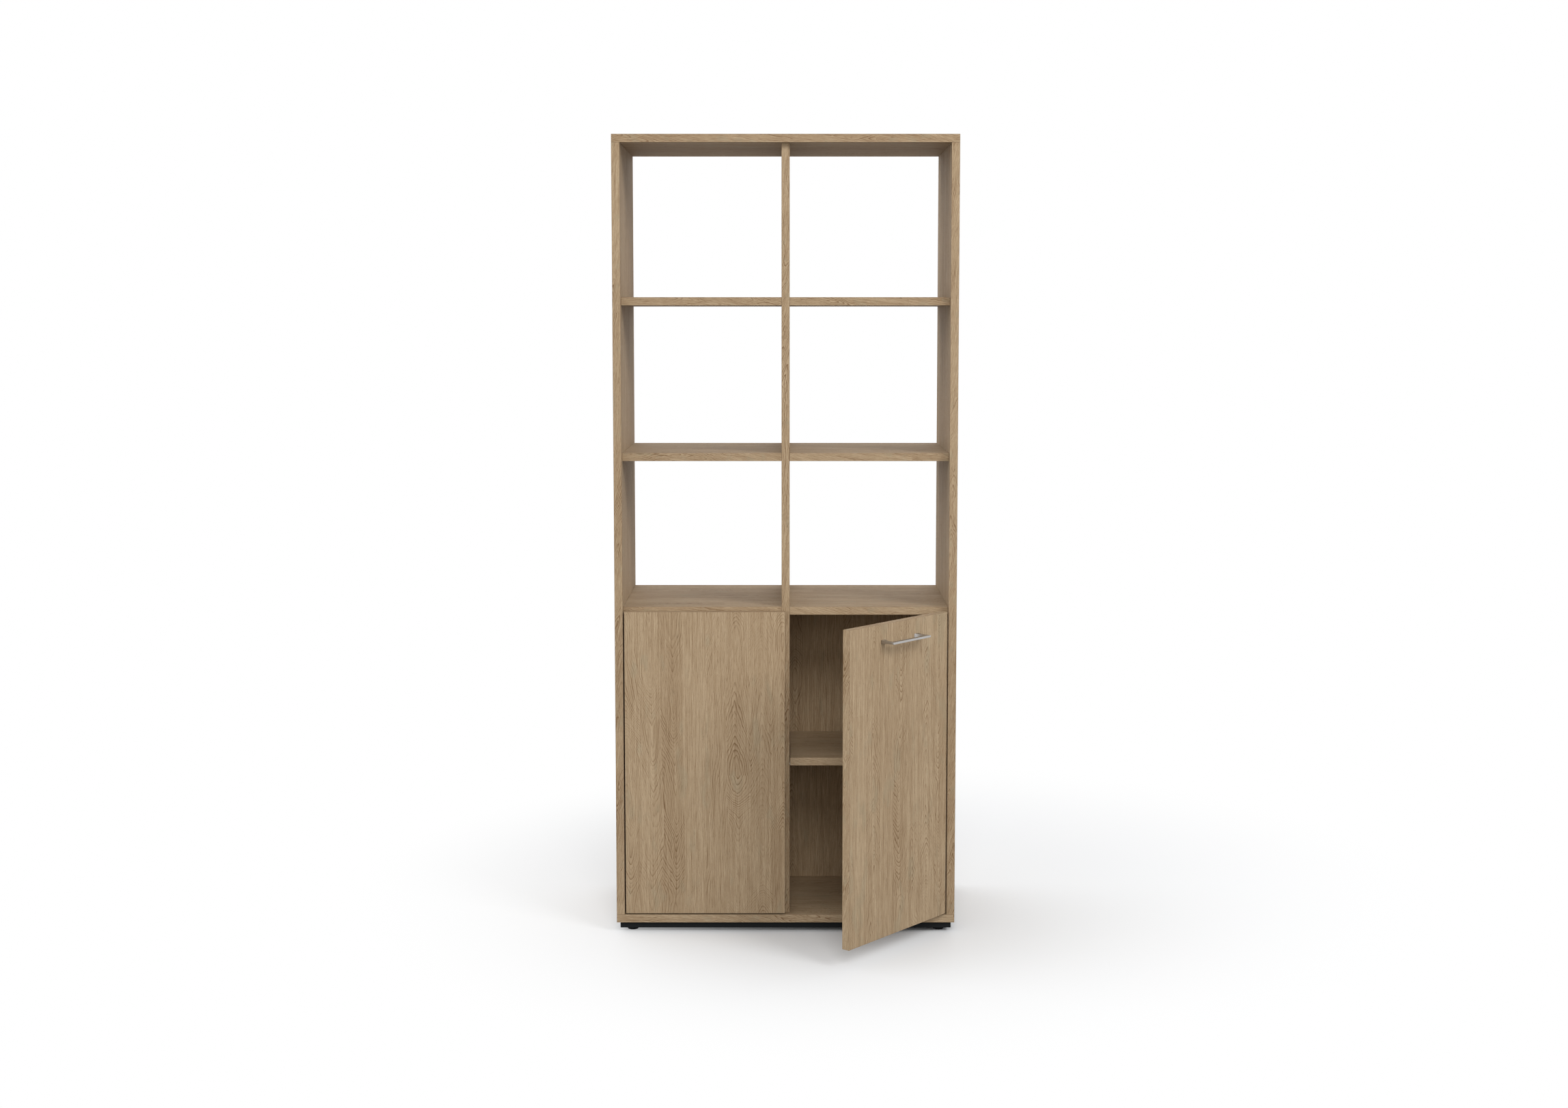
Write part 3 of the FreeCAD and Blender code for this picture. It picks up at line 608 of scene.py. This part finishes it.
def roundOff(piece, width, segments, sharpFrom):
    # rounds the edges that turn by more than an angle, in degrees
    bpy.ops.object.mode_set(mode="OBJECT")
    edge = piece.modifiers.new("roundOff", "BEVEL")
    edge.width = width
    edge.segments = segments
    edge.limit_method = "ANGLE"
    edge.angle_limit = math.radians(sharpFrom)
    edge.harden_normals = False
    bpy.ops.object.modifier_apply(modifier=edge.name)
    bpy.ops.object.shade_smooth_by_angle(angle=math.radians(smoothUnder))


def standFor(piece, node, body, material):
    dress(piece, material)
    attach(piece, body)
    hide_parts(node)


bowHandle = {
    "barHigh": 0.0050,
    "barDeep": 0.0100,
    "legOnBar": 0.0110,         # along the bar
    "legOnDoor": 0.0170,
    "footHigh": 0.0095,
    "flare": 2.4,               # how late a leg widens on its way to the door
    "steps": 9,
    "edge": 0.0007,
    "edgeSegments": 3,
    "sharpFrom": 35.0,
}


def makeBowHandle(node):
    # made along the open door, then turned with it
    size = bowHandle
    low, high = laidBox(node, "openDoor")[1:]
    middle = (low + high) / 2
    deep, tall = size["barDeep"], size["barHigh"]
    piece = begin("bowHandle", bpy.ops.mesh.primitive_cube_add, size=1.0,
                  location=(middle.x, low.y + deep / 2, middle.z), scale=(high.x - low.x, deep, tall))
    reach = high.y - low.y - deep
    for side, outer in ((1, low.x), (-1, high.x)):
        cut = outer + side * size["legOnBar"]

        def legStart(place, facing):
            onBack = facing.y > squareOn and abs(place.y - low.y - deep) < nearly
            return onBack and (cut - place.x) * side > 0

        pickFaces(piece, lambda place, facing: True)
        bpy.ops.mesh.bisect(plane_co=(cut, 0, 0), plane_no=(1, 0, 0))
        pickFaces(piece, legStart)
        long, thick = size["legOnBar"], tall
        for step in range(1, size["steps"] + 1):
            part = (step / size["steps"]) ** size["flare"]
            newLong = size["legOnBar"] + part * (size["legOnDoor"] - size["legOnBar"])
            newThick = tall + part * (size["footHigh"] - tall)
            extrude(0, reach / size["steps"], 0)
            bpy.ops.transform.resize(value=(newLong / long, 1, newThick / thick),
                                     center_override=(outer, middle.y, middle.z))
            long, thick = newLong, newThick
    roundOff(piece, size["edge"], size["edgeSegments"], size["sharpFrom"])
    piece.rotation_euler = (0, 0, turn)
    bpy.ops.object.transform_apply(location=True, rotation=True, scale=True)
    standFor(piece, node, "right_door", satin)


makeBowHandle("door_handle")
print("the handle is made")


levellingFoot = {
    "padHigh": 0.0060,
    "padRadius": 0.0130,
    "padRound": 0.0012,
    "padSegments": 3,
    "ribs": 24,
    "grooveHalf": 0.1,          # of the way from rib to rib, less than one of the three faces there
    "grooveDeep": 0.0005,
    "grooveRim": 0.0002,
    "nutFlats": 0.0130,
    "nutHigh": 0.0028,
    "nutChamfer": 0.0005,
    "nutSegments": 2,
    "stemRadius": 0.0040,
    "stemSides": 24,
    "threadDeep": 0.0004,
    "threadPitch": 0.00125,
    "sharpFrom": 30.0,
}


def makePad(x, y):
    # every third face of its wall is pushed in, which leaves the ribs
    size = levellingFoot
    pad = begin("pad", bpy.ops.mesh.primitive_cylinder_add, vertices=3 * size["ribs"],
                radius=size["padRadius"], depth=size["padHigh"], location=(x, y, size["padHigh"] / 2))
    pickFaces(pad, lambda place, facing: abs(facing.z) > squareOn)
    bpy.ops.mesh.bevel(offset=size["padRound"], segments=size["padSegments"], affect="EDGES")
    step = 2 * math.pi / size["ribs"]

    def inGroove(place, facing):
        around = math.atan2(place.y - y, place.x - x) / step
        return abs(facing.z) < 1.0 - squareOn and abs(around - round(around)) < size["grooveHalf"]

    pickFaces(pad, inGroove)
    bpy.ops.mesh.inset(thickness=size["grooveRim"], depth=-size["grooveDeep"], use_individual=True)
    bpy.ops.object.mode_set(mode="OBJECT")
    bpy.ops.object.shade_smooth_by_angle(angle=math.radians(size["sharpFrom"]))
    return pad


def makeNut(x, y):
    size = levellingFoot
    halfSide = math.radians(30)
    nut = begin("nut", bpy.ops.mesh.primitive_cylinder_add, vertices=6,
                radius=size["nutFlats"] / 2 / math.cos(halfSide), depth=size["nutHigh"],
                location=(x, y, size["padHigh"] + size["nutHigh"] / 2), rotation=(0, 0, halfSide))
    roundOff(nut, size["nutChamfer"], size["nutSegments"], size["sharpFrom"])
    return nut


def makeStem(x, y, top):
    # turned with rings at the thread's pitch
    size = levellingFoot
    start = size["padHigh"]
    pitch = size["threadPitch"]
    root = size["stemRadius"] - size["threadDeep"]
    stem = begin("stem", bpy.ops.mesh.primitive_cylinder_add, vertices=size["stemSides"], radius=root,
                 depth=size["nutHigh"], location=(x, y, start + size["nutHigh"] / 2))
    height = start + size["nutHigh"]
    pickFaces(stem, lambda place, facing: facing.z > squareOn)
    wide = root
    while height + pitch < top:
        for newWide in (size["stemRadius"], root):
            extrude(0, 0, pitch / 2)
            bpy.ops.transform.resize(value=(newWide / wide, newWide / wide, 1),
                                     center_override=(x, y, height))
            wide = newWide
        height += pitch
    extrude(0, 0, top - height)
    bpy.ops.object.mode_set(mode="OBJECT")
    return stem


def makeFoot():
    low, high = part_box("levelling_foot_front_left")
    x, y = (low.x + high.x) / 2, (low.y + high.y) / 2
    made = [makePad(x, y), makeNut(x, y), makeStem(x, y, high.z)]
    selectOnly(*made)
    bpy.ops.object.join()
    return made[0], x, y


def placeFeet():
    # one foot is made, and the others are copies of it, each with its own mesh
    first, x, y = makeFoot()
    for corner in ("front_left", "front_right", "back_left", "back_right"):
        node = "levelling_foot_" + corner
        low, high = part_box(node)
        foot = first
        if corner != "front_left":
            foot = first.copy()
            foot.data = first.data.copy()
            bpy.context.scene.collection.objects.link(foot)
            foot.location = ((low.x + high.x) / 2 - x, (low.y + high.y) / 2 - y, 0)
            selectOnly(foot)
            bpy.ops.object.transform_apply(location=True, rotation=True, scale=True)
        foot.name = "levellingFoot_" + corner
        yield foot, node, "foot_" + corner


for foot, node, body in list(placeFeet()):
    standFor(foot, node, body, moulded)
print("the feet are made")


studio = {
    "floorWide": 30.0,
    "floorSeen": (0.724, 0.731, 0.740, 1.0),    # what the camera sees of the floor, before its light
    "floorColour": (0.30, 0.30, 0.30, 1.0),     # what it throws back on the piece
    "fadeAround": (0.3, 0.4, 0.0),
    "fadeFrom": 0.40,                           # metres from there to where it starts to turn white
    "fadeTo": 1.45,
    "white": (1.0, 1.0, 1.0, 1.0),
    "skyEven": 0.48,
    "skySides": {"back": 2.1, "left": 1.85, "right": 0.22},     # what each side adds
    "lampAim": (0.0, 0.0, 0.8),
    "lamps": {
        "key": {"place": (0.4, -6.5, 5.2), "size": 2.4, "power": 160.0},
        "side": {"place": (4.8, -4.6, 5.0), "size": 2.8, "power": 245.0},
        "front": {"place": (0.6, -8.5, 2.6), "size": 2.4, "power": 80.0},
    },
}


def seenRay(tree):
    # one where the ray comes from the camera, straight or by a mirror or glass
    rays = tree.nodes.new("ShaderNodeLightPath").outputs
    seen = calc(tree, "MAXIMUM", rays["Is Camera Ray"], rays["Is Glossy Ray"])
    return calc(tree, "MAXIMUM", seen, rays["Is Transmission Ray"])


def makeFloor():
    # it takes the shadow near the piece and glows white away from it
    bpy.ops.object.select_all(action="DESELECT")
    bpy.ops.mesh.primitive_plane_add(size=studio["floorWide"], location=(0, 0, 0))
    floor = bpy.context.object
    floor.name = "floor"
    material, tree, shader = newMaterial("paleFloor")
    tree.nodes.remove(shader)
    seen = seenRay(tree)
    distance = tree.nodes.new("ShaderNodeVectorMath")
    distance.operation = "DISTANCE"
    feed(tree, distance.inputs[0], ownSpace(tree)["Object"])
    feed(tree, distance.inputs[1], studio["fadeAround"])
    lit = tree.nodes.new("ShaderNodeBsdfDiffuse")
    feed(tree, lit.inputs["Color"], blendColours(tree, seen, studio["floorColour"], studio["floorSeen"]))
    glow = tree.nodes.new("ShaderNodeEmission")
    faded = spread(tree, distance.outputs["Value"], studio["fadeFrom"], studio["fadeTo"])
    mixed = tree.nodes.new("ShaderNodeMixShader")
    feed(tree, mixed.inputs[0], calc(tree, "MULTIPLY", faded, seen))
    feed(tree, mixed.inputs[1], lit.outputs[0])
    feed(tree, mixed.inputs[2], glow.outputs[0])
    feed(tree, tree.nodes["Material Output"].inputs["Surface"], mixed.outputs[0])
    dress(floor, material)


def makeSky():
    # an even dome, brighter towards the sides that have a level of their own
    world = bpy.data.worlds.new("studioSky")
    bpy.context.scene.world = world
    world.use_nodes = True
    tree = world.node_tree
    back = tree.nodes["Background"]
    x, y = split(tree, tree.nodes.new("ShaderNodeTexCoord").outputs["Generated"])[:2]
    towards = {"back": (y, 1.0), "left": (x, -1.0), "right": (x, 1.0)}
    level = studio["skyEven"]
    for side, (direction, sign) in towards.items():
        lobe = calc(tree, "MAXIMUM", calc(tree, "MULTIPLY", direction, sign), 0.0)
        lobe = calc(tree, "MULTIPLY", lobe, lobe)
        level = calc(tree, "MULTIPLY_ADD", lobe, studio["skySides"][side], level)
    seen = seenRay(tree)
    back.inputs["Color"].default_value = studio["white"]
    # white where it is seen, and the level above where it lights
    lights = calc(tree, "MULTIPLY", level, calc(tree, "SUBTRACT", 1.0, seen))
    feed(tree, back.inputs["Strength"], calc(tree, "ADD", lights, seen))


def addLamp(name, place, size, power):
    light = bpy.data.lights.new(name, "AREA")
    light.size = size
    light.energy = power
    item = bpy.data.objects.new(name, light)
    bpy.context.scene.collection.objects.link(item)
    item.location = place
    item.rotation_euler = (Vector(studio["lampAim"]) - Vector(place)).to_track_quat("-Z", "Y").to_euler()
    item.visible_camera = False


makeFloor()
makeSky()
for name, lamp in studio["lamps"].items():
    addLamp(name + "Lamp", **lamp)
print("studio is lit")


cameraSetting = {
    "ahead": 4.7898,            # metres in front of the carcass's front plane
    "high": 1.4462,
    "pitch": -5.25,             # degrees, downwards
    "focalPixels": 3026.1,
    "framePixels": 2296,
    "middle": 1150.35,          # where the lens axis meets the frame, from its left
    "shiftY": -0.0280,
    "sensor": 36.0,
}


def addCamera():
    size = cameraSetting
    lens = bpy.data.cameras.new("studioCamera")
    lens.sensor_width = size["sensor"]
    lens.lens = size["focalPixels"] / size["framePixels"] * size["sensor"]
    lens.shift_x = 0.5 - size["middle"] / size["framePixels"]
    lens.shift_y = size["shiftY"]
    camera = bpy.data.objects.new("studioCamera", lens)
    bpy.context.scene.collection.objects.link(camera)
    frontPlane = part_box("side_right")[0].y
    camera.location = (0.0, frontPlane - size["ahead"], size["high"])
    camera.rotation_euler = (math.radians(90 + size["pitch"]), 0.0, 0.0)
    bpy.context.scene.camera = camera
    bpy.context.scene.view_settings.view_transform = "Standard"


addCamera()
print("camera is set")
